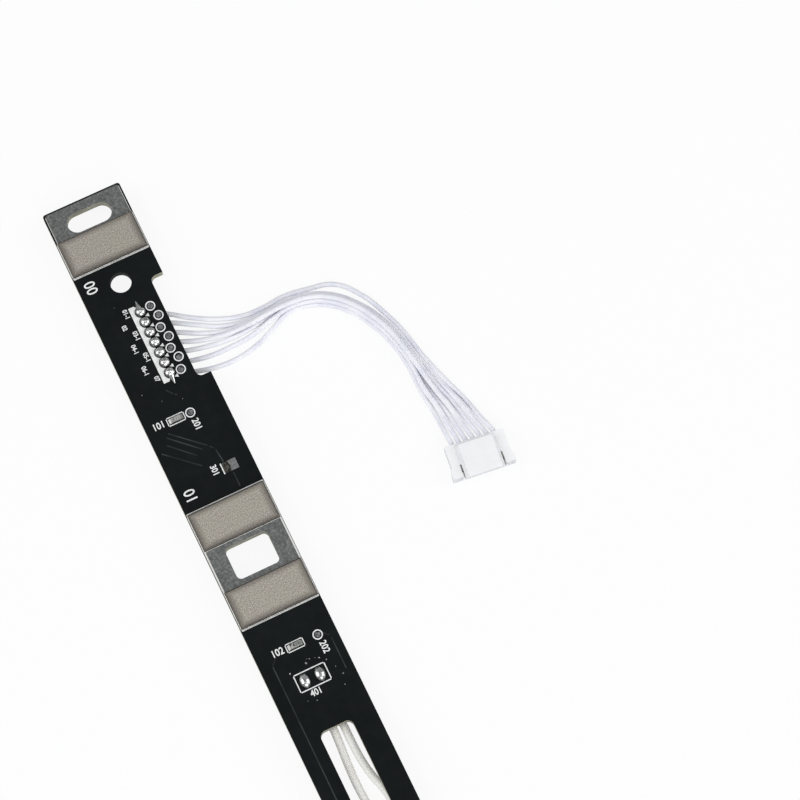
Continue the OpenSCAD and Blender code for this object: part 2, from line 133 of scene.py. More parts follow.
world = bpy.data.worlds.new("studio")
world.use_nodes = True
world.node_tree.nodes["Background"].inputs["Color"].default_value = (0.95, 0.97, 1, 1)
world.node_tree.nodes["Background"].inputs["Strength"].default_value = 0.3
bpy.context.scene.world = world

# ---- Circuit board ----
# Glass epoxy laminate under a glossy black solder mask. The router leaves the pale laminate
# bare on the outline and in the slots, and copper tracks stand up faintly under the mask.

board_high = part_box("circuit_board")[1]
TOP = board_high.z
MASK = 0.02 * MM
HOLE_AT = 16.9
HOLE_REACH = 2.1


def along(distance):
    """Y of a place that far from the end of terminal 0, in mm along the strip."""
    return board_high.y - distance * MM


def srgb(red, green, blue):
    """A colour from 0 to 255, as the shaders take it."""
    def linear(value):
        value /= 255
        return value / 12.92 if value <= 0.04045 else ((value + 0.055) / 1.055) ** 2.4

    return (linear(red), linear(green), linear(blue), 1)


def new_material(name, colour, roughness, metallic=0.0):
    """A material with those plain values, and its node tree's parts."""
    material = bpy.data.materials.new(name)
    material.use_nodes = True
    nodes, links = material.node_tree.nodes, material.node_tree.links
    shader = nodes["Principled BSDF"]
    shader.inputs["Base Color"].default_value = colour
    shader.inputs["Roughness"].default_value = roughness
    shader.inputs["Metallic"].default_value = metallic
    return material, nodes, links, shader


def grain(nodes, links, size, detail=3.0, stretch=(1, 1, 1), space="Object"):
    """Noise with lumps of about that size in mm."""
    coordinates = nodes.new("ShaderNodeTexCoord")
    mapping = nodes.new("ShaderNodeMapping")
    mapping.inputs["Scale"].default_value = stretch
    noise = nodes.new("ShaderNodeTexNoise")
    noise.inputs["Scale"].default_value = 1 / (size * MM)
    noise.inputs["Detail"].default_value = detail
    links.new(coordinates.outputs[space], mapping.inputs["Vector"])
    links.new(mapping.outputs[0], noise.inputs["Vector"])
    return noise.outputs["Fac"]


def ramp(nodes, links, source, *stops):
    """Colours, or levels, set at places along the source's 0 to 1."""
    node = nodes.new("ShaderNodeValToRGB")
    while len(node.color_ramp.elements) < len(stops):
        node.color_ramp.elements.new(0.5)
    for element, (place, colour) in zip(node.color_ramp.elements, stops):
        element.position = place
        element.color = colour if isinstance(colour, tuple) else (colour, colour, colour, 1)
    links.new(source, node.inputs["Fac"])
    return node.outputs["Color"]


def calculate(nodes, links, operation, first, second=None):
    """One step of arithmetic on a socket, with a socket or a plain number."""
    node = nodes.new("ShaderNodeMath")
    node.operation = operation
    links.new(first, node.inputs[0])
    if isinstance(second, (int, float)):
        node.inputs[1].default_value = second
    elif second is not None:
        links.new(second, node.inputs[1])
    return node.outputs[0]


def axis_of(nodes, links, source, axis):
    """One axis of a vector socket."""
    split = nodes.new("ShaderNodeSeparateXYZ")
    links.new(source, split.inputs[0])
    return split.outputs[axis]


def place_on(nodes, links, axis, space="Object"):
    """Where a point lies along an axis: in metres, or 0 to 1 over the piece for Generated."""
    return axis_of(nodes, links, nodes.new("ShaderNodeTexCoord").outputs[space], axis)


def flatness(nodes, links):
    """1 on faces that look straight up or down, 0 on upright ones."""
    normal = nodes.new("ShaderNodeNewGeometry").outputs["Normal"]
    return calculate(nodes, links, "ABSOLUTE", axis_of(nodes, links, normal, "Z"))


def bumps(nodes, links, shader, source, height, strength=1.0):
    """Roughens the surface by the source, that many mm high."""
    node = nodes.new("ShaderNodeBump")
    node.inputs["Distance"].default_value = height * MM
    node.inputs["Strength"].default_value = strength
    links.new(source, node.inputs["Height"])
    links.new(node.outputs[0], shader.inputs["Normal"])


def blend_colours(nodes, links, share, first, second):
    """first where share is 0, second where it is 1. Either may be a socket or a colour."""
    node = nodes.new("ShaderNodeMix")
    node.data_type = "RGBA"
    links.new(share, node.inputs["Factor"])
    colour_a, colour_b, result = node.inputs[6], node.inputs[7], node.outputs[2]
    for colour, socket in ((first, colour_a), (second, colour_b)):
        if isinstance(colour, tuple):
            socket.default_value = colour
        else:
            links.new(colour, socket)
    return result


def dress(material, *names):
    """Gives CAD nodes that material in every slot."""
    for name in names:
        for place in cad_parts[name].material_slots:
            place.material = material


def solder_mask_board():
    """Black mask on the faces, pale glass cloth on the cut sides, painted shade on the round hole's
    walls.
    """
    material, nodes, links, shader = new_material("solder_mask_board", srgb(16, 20, 21), 0.32)
    shader.inputs["IOR"].default_value = 1.3
    face = calculate(nodes, links, "GREATER_THAN", flatness(nodes, links), 0.5)
    cloth = ramp(nodes, links, grain(nodes, links, 0.5, 2, (0.2, 0.2, 4)),
                 (0.3, srgb(122, 122, 104)), (0.7, srgb(192, 190, 174)))
    centre_x = place_on(nodes, links, "X")
    from_end = calculate(nodes, links, "ABSOLUTE", place_on(nodes, links, "Y"))
    off_centre = calculate(nodes, links, "SUBTRACT", from_end, board_high.y - HOLE_AT * MM)
    across = calculate(nodes, links, "POWER", calculate(nodes, links, "ABSOLUTE", centre_x), 2.0)
    lengthways = calculate(nodes, links, "POWER",
                           calculate(nodes, links, "ABSOLUTE", off_centre), 2.0)
    squared = calculate(nodes, links, "ADD", across, lengthways)
    # Near the round hole the cut sides turn near-black: painted shade on the hole's walls.
    hole_wall_shade = calculate(nodes, links, "LESS_THAN", squared, (HOLE_REACH * MM) ** 2)
    cloth = blend_colours(nodes, links, hole_wall_shade, cloth, srgb(14, 16, 16))
    mask = ramp(nodes, links, grain(nodes, links, 9, 4),
                (0.3, srgb(11, 15, 15)), (0.7, srgb(18, 22, 22)))
    links.new(blend_colours(nodes, links, face, cloth, mask), shader.inputs["Base Color"])
    gloss = ramp(nodes, links, grain(nodes, links, 1.6, 5), (0.3, 0.24), (0.75, 0.42))
    matt = (0.75, 0.75, 0.75, 1)
    links.new(blend_colours(nodes, links, face, matt, gloss), shader.inputs["Roughness"])
    bumps(nodes, links, shader, grain(nodes, links, 0.35, 2), 0.01, 0.25)
    return material


dress(solder_mask_board(), "circuit_board")


def prism(mesh, outline, low, high):
    """A flat solid on an outline of (x, distance) places in mm, counter-clockwise from above."""
    ring_low = [mesh.verts.new((x * MM, along(d), low)) for x, d in outline]
    ring_high = [mesh.verts.new((x * MM, along(d), high)) for x, d in outline]
    mesh.faces.new(ring_high)
    mesh.faces.new(list(reversed(ring_low)))
    count = len(outline)
    for i in range(count):
        j = (i + 1) % count
        mesh.faces.new((ring_low[i], ring_low[j], ring_high[j], ring_high[i]))


def stroke(mesh, start, end, width, low, high):
    """A straight bar of that width between two places, with square ends."""
    (x1, d1), (x2, d2) = start, end
    length = math.hypot(x2 - x1, d2 - d1)
    along_x, along_d = (x2 - x1) / length * width / 2, (d2 - d1) / length * width / 2
    x1, d1, x2, d2 = x1 - along_x, d1 - along_d, x2 + along_x, d2 + along_d
    outline = [(x1 - along_d, d1 + along_x), (x2 - along_d, d2 + along_x),
               (x2 + along_d, d2 - along_x), (x1 + along_d, d1 - along_x)]
    prism(mesh, outline, low, high)


def finish_piece(name, mesh, material, smooth=False):
    """Makes the built mesh a piece that rides on the board, with outward faces."""
    bmesh.ops.recalc_face_normals(mesh, faces=mesh.faces)
    data = bpy.data.meshes.new(name)
    mesh.to_mesh(data)
    mesh.free()
    data.materials.append(material)
    for polygon in data.polygons:
        polygon.use_smooth = smooth
    piece = link_object(name, data)
    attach(piece, "root")
    return piece


TRACK_W = 0.2
tracks = [
    [(-3.85, 45), (1.3, 49.8), (2.15, 50.75), (2.45, 53.4)],
    [(-4.4, 45.6), (0.1, 49.9)],
    [(-4.85, 46.9), (-1.15, 50.5)],
    [(-6.3, 47.8), (-1.15, 52.5)],
    [(-3.8, 87.6), (-5, 88.8), (-5, 122.5)],
    [(5.1, 87.4), (5.85, 88.3), (5.85, 94.2)],
    [(-1, 37.9), (-0.15, 39), (0.3, 39.3)],
    [(3.2, 55.9), (3.2, 58.4)],
]


def track_mask():
    """The mask where it runs over a copper track, a little paler and smoother."""
    material, nodes, links, shader = new_material("track_mask", srgb(44, 50, 50), 0.3)
    links.new(ramp(nodes, links, grain(nodes, links, 3, 4),
                   (0.35, srgb(24, 29, 29)), (0.65, srgb(58, 63, 62))), shader.inputs["Base Color"])
    return material


mesh = bmesh.new()
for track in tracks:
    for start, end in zip(track, track[1:]):
        stroke(mesh, start, end, TRACK_W, TOP - MASK, TOP + 0.5 * MASK)
finish_piece("masked_tracks", mesh, track_mask())

# ---- White legend ----
# Epoxy ink screened on the mask: the block round the header, rings and frames round the parts,
# and plain numbers. It is about 20 microns thick and a little uneven.

INK = 0.02 * MM
HEADER_AT = 29.25
HEADER_X = 0.85
JOINT_PITCH = 2
WAYS = 7
MIDDLE_WAY = (WAYS + 1) / 2
CLEAR_R = 1.04
BLOCK_LEFT = -0.85
BLOCK_RIGHT = 1.95
BLOCK_HALF = 7.4
NOTCH_X = 0.2
NOTCH = 0.3
WEDGE_START = 0.42
WEDGE_HALF = 0.34
SCALLOP_STEPS = 8
RING_R = 0.87
RING_STROKE = 0.2
NARROW = 0.86
DIGIT_SHARE = 0.69
ring_places = [(2.8, 22.95), (3.4, 25.05), (2.8, 27.2), (3.4, 29.25), (2.8, 31.3), (3.4, 33.3),
               (2.8, 35.5)]


def ink():
    """Screened white ink with a faint mottle."""
    material, nodes, links, shader = new_material("white_ink", srgb(240, 241, 240), 0.55)
    links.new(ramp(nodes, links, grain(nodes, links, 0.5, 4),
                   (0.3, srgb(222, 226, 223)), (0.6, srgb(250, 251, 250))),
              shader.inputs["Base Color"])
    bumps(nodes, links, shader, grain(nodes, links, 0.15, 2), 0.01, 0.5)
    return material


def header_outlines():
    """The block left of the joints with its scalloped edge, and the small wedges right of them."""
    first = HEADER_AT - (WAYS - 1) / 2 * JOINT_PITCH
    half_pitch = JOINT_PITCH / 2
    top_angle = math.asin(half_pitch / CLEAR_R)
    left = [(BLOCK_LEFT, HEADER_AT + BLOCK_HALF), (BLOCK_LEFT, HEADER_AT - BLOCK_HALF),
            (NOTCH_X, HEADER_AT - BLOCK_HALF), (NOTCH_X, first - half_pitch - NOTCH)]
    for way in range(WAYS):
        centre = first + way * JOINT_PITCH
        for step in range(SCALLOP_STEPS + 1):
            angle = -top_angle + 2 * top_angle * step / SCALLOP_STEPS
            left.append((HEADER_X - CLEAR_R * math.cos(angle), centre + CLEAR_R * math.sin(angle)))
    last = first + (WAYS - 1) * JOINT_PITCH
    left += [(NOTCH_X, last + half_pitch + NOTCH), (NOTCH_X, HEADER_AT + BLOCK_HALF)]
    wedges = []
    for way in range(WAYS):
        middle = first + way * JOINT_PITCH + half_pitch
        wedges.append([(HEADER_X + WEDGE_START, middle), (BLOCK_RIGHT, middle - WEDGE_HALF),
                       (BLOCK_RIGHT, middle + WEDGE_HALF)])
    return [left] + wedges


def ring(mesh, centre_x, distance, radius, width, sides=40):
    """A flat ring of ink round a place."""
    corners = []
    for level in (TOP - INK / 2, TOP + INK):
        for r in (radius, radius - width):
            corners.append([mesh.verts.new((centre_x * MM + r * MM * math.cos(a),
                                            along(distance) + r * MM * math.sin(a), level))
                            for a in (2 * math.pi * i / sides for i in range(sides))])
    low_out, low_in, high_out, high_in = corners
    for i in range(sides):
        j = (i + 1) % sides
        mesh.faces.new((high_out[i], high_out[j], high_in[j], high_in[i]))
        mesh.faces.new((low_out[j], low_out[i], low_in[i], low_in[j]))
        mesh.faces.new((low_out[i], low_out[j], high_out[j], high_out[i]))
        mesh.faces.new((low_in[j], low_in[i], high_in[i], high_in[j]))


def outline_box(mesh, left, right, near, far, width):
    """A rectangle drawn with strokes of that width."""
    corners = [(left, near), (right, near), (right, far), (left, far)]
    for start, end in zip(corners, corners[1:] + corners[:1]):
        stroke(mesh, start, end, width, TOP - INK / 2, TOP + INK)


def number(mesh, text, centre_x, distance, height, down=False, bold=0.0):
    """Plain digits centred on a place, read across the strip, or down it."""
    curve = bpy.data.curves.new("number", "FONT")
    curve.body = text
    curve.size = height * MM / DIGIT_SHARE
    curve.align_x = "CENTER"
    curve.align_y = "CENTER"
    curve.extrude = INK / 2
    curve.offset = bold * MM
    curve.resolution_u = 3
    holder = link_object("number", curve)
    holder.location = (centre_x * MM, along(distance), TOP + INK / 2)
    holder.rotation_euler.z = -math.pi / 2 if down else 0
    bpy.context.view_layer.update()
    data = bpy.data.meshes.new_from_object(holder)
    data.transform(holder.matrix_world @ Matrix.Diagonal((NARROW, 1, 1, 1)))
    mesh.from_mesh(data)
    bpy.data.objects.remove(holder)
    bpy.data.meshes.remove(data)


CELL = 68.2
CELLS = 4
TERMINALS = CELLS + 1
FIRST_CHIP_AT = 43.2
CHIP_AT = 87.2
chip_places = [(-1.65, FIRST_CHIP_AT)]
chip_places += [(-0.15, CHIP_AT + CELL * i) for i in range(CELLS - 1)]
probe_places = [(1.02, FIRST_CHIP_AT)]
probe_places += [(4, CHIP_AT + CELL * i) for i in range(CELLS - 1)]
SENSOR_AT = 93.35
CHIP_FRAME_X = 1.55
CHIP_FRAME_Y = 0.72
SENSOR_FRAME_Y = 1.55

mesh = bmesh.new()
for outline in header_outlines():
    prism(mesh, outline, TOP - INK / 2, TOP + INK)
for centre_x, distance in ring_places + probe_places:
    ring(mesh, centre_x, distance, RING_R, RING_STROKE)
for centre_x, distance in chip_places:
    outline_box(mesh, centre_x - CHIP_FRAME_X, centre_x + CHIP_FRAME_X,
                distance - CHIP_FRAME_Y, distance + CHIP_FRAME_Y, 0.17)
outline_box(mesh, -2.65, 2.9, SENSOR_AT - SENSOR_FRAME_Y, SENSOR_AT + SENSOR_FRAME_Y, 0.18)
stroke(mesh, (1.78, 53.65), (1.78, 55.45), 0.2, TOP - INK / 2, TOP + INK)
for terminal in range(TERMINALS):
    place = 15.6 if terminal == 0 else 56.5 + CELL * (terminal - 1)
    number(mesh, f"0{terminal}", -5.15, place, 1.95, down=True, bold=0.02)
for way in range(WAYS):
    near = way % 2 == 0
    text = f"{way + 1:02d}" if way in (1, WAYS - 1) else f"{way + 1:02d}-1"
    number(mesh, text, -1.6 if near else -2.85, 22.6 + 2.12 * way, 0.78, down=True, bold=0.03)
for i in range(CELLS):
    number(mesh, f"10{i + 1}", chip_places[i][0] - 3.15, chip_places[i][1] - 0.1, 1.2, bold=0.03)
    number(mesh, f"20{i + 1}", probe_places[i][0] + 0.15, probe_places[i][1] + 2.35, 1.15,
           down=True, bold=0.03)
number(mesh, "301", 0.45, 54.2, 1.05, down=True, bold=0.03)
number(mesh, "401", -0.3, SENSOR_AT + 2.45, 1.1, bold=0.03)
finish_piece("white_legend", mesh, ink())

# ---- Terminal lands ----
# Copper left bare of mask and tinned, so it is grey and mottled with fine scratches. A thin
# bead of solder holds each weld block round its foot, with a painted highlight below and
# painted shade in the crease above.

LAND_TOP = TOP + 0.1 * MM
LAND_EDGE = 6.88
CREASE = 0.13
LAND_HALF = 6.95
LINE_W = 0.24
LAND_REACH = 3.64
BLOCK_AT = 9.4
BLOCK_PITCH = 14.7
land_ends = [BLOCK_AT + LAND_REACH]
for cell in range(1, CELLS + 1):
    land_ends.append(BLOCK_AT + CELL * cell - BLOCK_PITCH - LAND_REACH)
    if cell < CELLS:
        land_ends.append(BLOCK_AT + CELL * cell + LAND_REACH)


def tinned_land():
    """Grey tin with cloudy patches and bright specks, and painted highlight and shade on bead and
    edges.
    """
    material, nodes, links, shader = new_material("tinned_land", srgb(150, 150, 150), 0.35, 0.8)
    clouds = ramp(nodes, links, grain(nodes, links, 0.45, 6),
                  (0.3, srgb(116, 119, 118)), (0.5, srgb(140, 142, 140)),
                  (0.7, srgb(170, 170, 167)))
    specks = ramp(nodes, links, grain(nodes, links, 0.22, 1), (0.7, 0.0), (0.76, 0.8))
    face = blend_colours(nodes, links, specks, clouds, srgb(244, 242, 236))
    height = place_on(nodes, links, "Z")
    raised = calculate(nodes, links, "GREATER_THAN", height, LAND_TOP + 0.01 * MM)
    aside = calculate(nodes, links, "ABSOLUTE", place_on(nodes, links, "X"))
    edge = calculate(nodes, links, "GREATER_THAN", aside, LAND_EDGE * MM)
    # Bead and outer long edges: the near-white is a painted highlight, and the dark grey above the
    # crease height is painted shade.
    bright = calculate(nodes, links, "MAXIMUM", raised, edge)
    crease = calculate(nodes, links, "GREATER_THAN", height, LAND_TOP + CREASE * MM)
    tin = blend_colours(nodes, links, crease, srgb(250, 250, 246), srgb(92, 90, 86))
    links.new(blend_colours(nodes, links, bright, face, tin), shader.inputs["Base Color"])
    dull = ramp(nodes, links, grain(nodes, links, 0.8, 5, (1, 0.35, 1)), (0.3, 0.28), (0.7, 0.5))
    links.new(blend_colours(nodes, links, bright, dull, (0.35, 0.35, 0.35, 1)),
              shader.inputs["Roughness"])
    # Less metallic where the painted highlight is, so that it shows white under any lamp.
    links.new(ramp(nodes, links, bright, (0.0, 0.8), (1.0, 0.35)), shader.inputs["Metallic"])
    bumps(nodes, links, shader, grain(nodes, links, 0.35, 4, (1, 0.3, 1)), 0.02, 0.5)
    return material


dress(tinned_land(), *[f"terminal_land_{k}" for k in range(TERMINALS)])


def tin_line():
    """The thin edge of tin where a land runs under the mask, painted near-white as a highlight."""
    material, nodes, links, shader = new_material("tin_line", srgb(240, 240, 236), 0.35, 0.3)
    # Paler than the lands' own tin: a painted highlight along the edge.
    links.new(ramp(nodes, links, grain(nodes, links, 1.5, 3),
                   (0.3, srgb(205, 206, 203)), (0.6, srgb(250, 250, 247))),
              shader.inputs["Base Color"])
    return material


mesh = bmesh.new()
for place in land_ends:
    stroke(mesh, (-LAND_HALF, place), (LAND_HALF, place), LINE_W, TOP - MASK, TOP + 3 * MASK)
finish_piece("tin_lines", mesh, tin_line())

# ---- Weld blocks ----
# Nickel plates that the cells' tabs are welded to. They are barrel finished to a sandy taupe
# face that is darker towards its edges, with painted shade on the bevels.

blocks = ["weld_block_0", "weld_block_1a", "weld_block_1b", "weld_block_2a", "weld_block_2b",
          "weld_block_3a", "weld_block_3b", "weld_block_4"]


def edge_share(nodes, links, axis, reach):
    """0 over the middle of a piece, rising to 1 at both ends of that axis."""
    place = place_on(nodes, links, axis, "Generated")
    from_middle = calculate(nodes, links, "SUBTRACT", place, 0.5)
    span = nodes.new("ShaderNodeMapRange")
    span.inputs["From Min"].default_value = 0.5 - reach
    span.inputs["From Max"].default_value = 0.5
    links.new(calculate(nodes, links, "ABSOLUTE", from_middle), span.inputs["Value"])
    return span.outputs[0]


def sandy_nickel():
    """Fine sandy grain in a taupe grey, darker towards its edges, with painted shade on its bevels.
    """
    material, nodes, links, shader = new_material("sandy_nickel", srgb(165, 156, 146), 0.52, 0.85)
    sand = ramp(nodes, links, grain(nodes, links, 0.2, 3),
                (0.3, srgb(150, 142, 131)), (0.5, srgb(196, 188, 178)), (0.7, srgb(242, 235, 226)))
    patches = ramp(nodes, links, grain(nodes, links, 2.5, 4), (0.35, 0.0), (0.7, 0.4))
    face = blend_colours(nodes, links, patches, sand, srgb(205, 202, 182))
    rim = calculate(nodes, links, "MAXIMUM", edge_share(nodes, links, "X", 0.1),
                    edge_share(nodes, links, "Y", 0.17))
    face = blend_colours(nodes, links, ramp(nodes, links, rim, (0.0, 0.0), (1.0, 0.85)), face,
                         srgb(112, 105, 98))
    # Faces that tilt from the flat get a dark taupe: painted shade on the bevels.
    bevel_shade = calculate(nodes, links, "LESS_THAN", flatness(nodes, links), 0.9)
    links.new(blend_colours(nodes, links, bevel_shade, face, srgb(104, 98, 92)),
              shader.inputs["Base Color"])
    bumps(nodes, links, shader, grain(nodes, links, 0.16, 3), 0.03, 0.8)
    return material


dress(sandy_nickel(), *blocks)

# ---- Solder joints ----
# Bright domes of tin solder over the harness conductors and the thermistor's leads. They are
# smooth, with a slight ripple where the flux ran off, and painted shade on the steep foot.


def bright_solder():
    """Mirror-like tin with soft ripples, and painted shade round its steep foot."""
    material, nodes, links, shader = new_material("bright_solder", srgb(215, 215, 212), 0.24, 1)
    tin = ramp(nodes, links, grain(nodes, links, 0.8, 3),
               (0.3, srgb(176, 176, 174)), (0.6, srgb(244, 244, 242)))
    # Steep sides turn near-black: painted shade at the foot of each dome.
    upright = ramp(nodes, links, flatness(nodes, links), (0.4, 0.95), (0.78, 0.0))
    links.new(blend_colours(nodes, links, upright, tin, srgb(44, 44, 43)),
              shader.inputs["Base Color"])
    links.new(ramp(nodes, links, grain(nodes, links, 0.5, 4), (0.35, 0.2), (0.7, 0.34)),
              shader.inputs["Roughness"])
    bumps(nodes, links, shader, grain(nodes, links, 1.3, 0), 0.06, 0.4)
    return material


dress(bright_solder(), *[f"header_joint_{way}" for way in range(1, WAYS + 1)],
      "thermistor_joint_1", "thermistor_joint_2")

# ---- Test pads ----
# Bare copper discs for a probe, tinned dull and a little domed by the solder on them.


def dull_tin():
    """Grey tin, blotched by probing."""
    material, nodes, links, shader = new_material("dull_tin", srgb(120, 120, 122), 0.45, 1)
    links.new(ramp(nodes, links, grain(nodes, links, 0.35, 4),
                   (0.35, srgb(96, 98, 102)), (0.65, srgb(190, 190, 190))),
              shader.inputs["Base Color"])
    bumps(nodes, links, shader, grain(nodes, links, 0.25, 3), 0.04, 0.8)
    return material


dress(dull_tin(), "test_pads")

# ---- Cell components ----
# One small ceramic chip for each cell with a wedge of solder at both ends, and a two-pad
# jumper whose first pad has tarnished to bronze.


def ceramic_chip():
    """A grey resistive face between two soldered ends."""
    material, nodes, links, shader = new_material("ceramic_chip", srgb(120, 120, 118), 0.4)
    face = ramp(nodes, links, grain(nodes, links, 0.22, 3, (1.6, 0.7, 1)),
                (0.38, srgb(46, 46, 46)), (0.62, srgb(186, 186, 182)))
    ends = ramp(nodes, links, place_on(nodes, links, "X", "Generated"),
                (0.0, 1.0), (0.13, 1.0), (0.18, 0.0), (0.86, 0.0), (0.9, 1.0))
    links.new(blend_colours(nodes, links, ends, face, srgb(168, 168, 166)),
              shader.inputs["Base Color"])
    links.new(ends, shader.inputs["Metallic"])
    bumps(nodes, links, shader, grain(nodes, links, 0.3, 3), 0.04, 0.6)
    return material


dress(ceramic_chip(), *[f"chip_resistor_{k}" for k in range(1, CELLS + 1)])


def jumper_pads():
    """Bronze tarnish on the left pad and plain grey tin on the right."""
    material, nodes, links, shader = new_material("jumper_pads", srgb(140, 140, 138), 0.45, 0.9)
    right = ramp(nodes, links, place_on(nodes, links, "X", "Generated"), (0.46, 0.0), (0.5, 1.0))
    tarnish = ramp(nodes, links, grain(nodes, links, 0.3, 4),
                   (0.35, srgb(44, 42, 39)), (0.65, srgb(128, 124, 116)))
    plain = ramp(nodes, links, grain(nodes, links, 0.25, 3),
                 (0.3, srgb(132, 134, 134)), (0.7, srgb(178, 178, 176)))
    links.new(blend_colours(nodes, links, right, tarnish, plain), shader.inputs["Base Color"])
    return material


dress(jumper_pads(), "solder_jumper")

# ---- Flux specks ----
# Dried flux and dust, left round the joints that were soldered by hand. Each is a thin
# crumb on the mask with an uneven outline.

CRUMB_H = 0.03 * MM
CRUMB_CORNERS = 9
crumbs = [(0.2, 90.7, 0.2), (1, 90.3, 0.11), (2.55, 90.8, 0.13), (3.5, 91.6, 0.1),
          (-2.95, 91.2, 0.13), (4.4, 93.3, 0.08), (5, 94.9, 0.1), (4.5, 96.7, 0.08),
          (-2.2, 96.6, 0.1), (-0.8, 97.1, 0.08), (1.9, 90.5, 0.06), (0.6, 90.1, 0.06),
          (-2.9, 20.6, 0.09), (-2.4, 39.3, 0.09), (0.9, 40.4, 0.07), (-5.1, 36.9, 0.09)]

draw = random.Random(7)
mesh = bmesh.new()
for centre_x, distance, radius in crumbs:
    turn = draw.uniform(0, math.pi)
    outline = []
    for corner in range(CRUMB_CORNERS):
        angle = 2 * math.pi * corner / CRUMB_CORNERS
        reach = radius * draw.uniform(0.55, 1.25)
        long_way = reach * math.cos(angle) * 1.35
        short_way = reach * math.sin(angle)
        outline.append((centre_x + long_way * math.cos(turn) - short_way * math.sin(turn),
                        distance + long_way * math.sin(turn) + short_way * math.cos(turn)))
    prism(mesh, outline, TOP - CRUMB_H / 2, TOP + CRUMB_H)
flux, nodes, links, shader = new_material("dried_flux", srgb(150, 150, 146), 0.6)
links.new(ramp(nodes, links, grain(nodes, links, 0.4, 3),
               (0.3, srgb(70, 72, 72)), (0.7, srgb(200, 200, 196))), shader.inputs["Base Color"])
finish_piece("flux_specks", mesh, flux)

# ---- Thermistor ----
# Two leads in white sleeving run under the board, past the long window, to a small black
# epoxy bead. The CAD tubes are replaced by smooth ones on the same points.

LEAD_D = 1.4
SENSOR_X = 0.15
SENSOR_PITCH = 2.75
CONDUCTOR_Z = 0.85
LEAD_START = SENSOR_AT + 1.6
LEAD_REACH = 31.5
lead_bends = [
    [(-1.1, 3), (-0.75, 5), (-0.35, 7), (-0.4, 9.5), (-0.65, 13), (-0.8, 16.5), (-0.7, 20),
     (-0.4, 24), (-0.2, 27.5), (-0.2, 29.5), (-0.2, LEAD_REACH)],
    [(1.5, 3.5), (1.5, 7), (1.5, 11), (1.65, 14), (2.15, 17), (2.85, 19.5), (3.2, 22.5),
     (2.9, 25.5), (2.3, 28), (2.1, 29.5), (2.1, LEAD_REACH)]]
lead_x = [SENSOR_X - SENSOR_PITCH / 2, SENSOR_X + SENSOR_PITCH / 2]


def smooth_tube(name, route, diameter, material):
    """A round tube that runs smoothly through points in mm."""
    curve = bpy.data.curves.new(name, "CURVE")
    curve.dimensions = "3D"
    curve.bevel_depth = diameter / 2 * MM
    curve.bevel_resolution = 4
    curve.resolution_u = 10
    curve.use_fill_caps = True
    spline = curve.splines.new("BEZIER")
    spline.bezier_points.add(len(route) - 1)
    for point, place in zip(spline.bezier_points, route):
        point.co = Vector(place) * MM
        point.handle_left_type = "AUTO"
        point.handle_right_type = "AUTO"
    curve.materials.append(material)
    return link_object(name, curve)


def white_sleeve(name, pale, shaded, ink_share):
    """White insulation with a soft sheen, and small worn print marks on some of it."""
    material, nodes, links, shader = new_material(name, pale, 0.38)
    tone = ramp(nodes, links, grain(nodes, links, 4, 3), (0.3, shaded), (0.65, pale))
    marks = ramp(nodes, links, grain(nodes, links, 0.42, 1), (0.74, 0.0), (0.78, ink_share))
    links.new(blend_colours(nodes, links, marks, tone, srgb(120, 122, 136)),
              shader.inputs["Base Color"])
    bumps(nodes, links, shader, grain(nodes, links, 0.6, 2), 0.02, 0.3)
    return material


sleeve_marked = white_sleeve("sleeve_marked", srgb(250, 249, 246), srgb(242, 240, 234), 0.7)
sleeve_plain = white_sleeve("sleeve_plain", srgb(250, 250, 247), srgb(243, 241, 235), 0.0)
for i, sleeve in enumerate((sleeve_marked, sleeve_plain)):
    route = [(lead_x[i], along(LEAD_START + d) / MM, CONDUCTOR_Z) for d in (0, 1)]
    route += [(x, along(LEAD_START + d) / MM, LEAD_D / 2) for x, d in lead_bends[i]]
    lead = smooth_tube(f"lead_sleeve_{i + 1}", route, LEAD_D, sleeve)
    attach(lead, "root")
    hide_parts(f"thermistor_lead_{i + 1}")

epoxy, nodes, links, shader = new_material("black_epoxy", srgb(22, 22, 24), 0.25)
links.new(ramp(nodes, links, grain(nodes, links, 1.2, 4),
               (0.3, srgb(16, 16, 18)), (0.7, srgb(34, 34, 36))), shader.inputs["Base Color"])
bumps(nodes, links, shader, grain(nodes, links, 0.9, 2), 0.08, 0.6)
dress(epoxy, "thermistor_body")

# ---- Harness wires ----
# Seven stranded wires in white insulation, 0.9 mm over it. They leave the joints under the
# board, draw together into a bundle, bend round once and fan out into the connector.

WIRE_D = 0.9
STRIP_L = 1.6
CONNECTOR_X = 42.4
CONNECTOR_Y = 70.6
CONNECTOR_TURN = math.radians(-7)
WAY_PITCH = 1.25
WAY_Z = 1.4
WIRE_SEAT = 1.2
fan_out = [
    [(5, 113.8, 0.7), (8.5, 111.4, 0.5), (12.5, 109.2, 0.5), (16.5, 107.9, 0.5), (20.5, 107.7, 0.5)],
    [(5, 112, 0.7), (8.5, 110, 0.5), (12.5, 107.8, 0.5), (16.5, 106.9, 0.5), (20.5, 106.8, 0.5)],
    [(5, 110.1, 0.7), (8.5, 108.3, 0.5), (12.5, 106.7, 0.7), (16.5, 106.2, 1.2), (20.5, 106.3, 1.3)],
    [(5, 108.2, 0.7), (8.5, 106.9, 0.6), (12.5, 105.9, 1.2), (16.5, 105.6, 1.9), (20.5, 105.9, 2.1)],
    [(5, 106.4, 0.7), (8.5, 105.6, 0.5), (12.5, 105.1, 0.5), (16.5, 105.2, 0.5), (20.5, 105.7, 0.5)],
    [(5, 104.4, 0.7), (8.5, 103.8, 0.5), (12.5, 103.7, 0.5), (16.5, 104, 0.5), (20.5, 104.9, 1)],
    [(5, 102.3, 0.7), (8.5, 101.5, 0.5), (12.5, 101.3, 0.5), (16.5, 102, 0.5), (20.5, 103.6, 0.5)]]
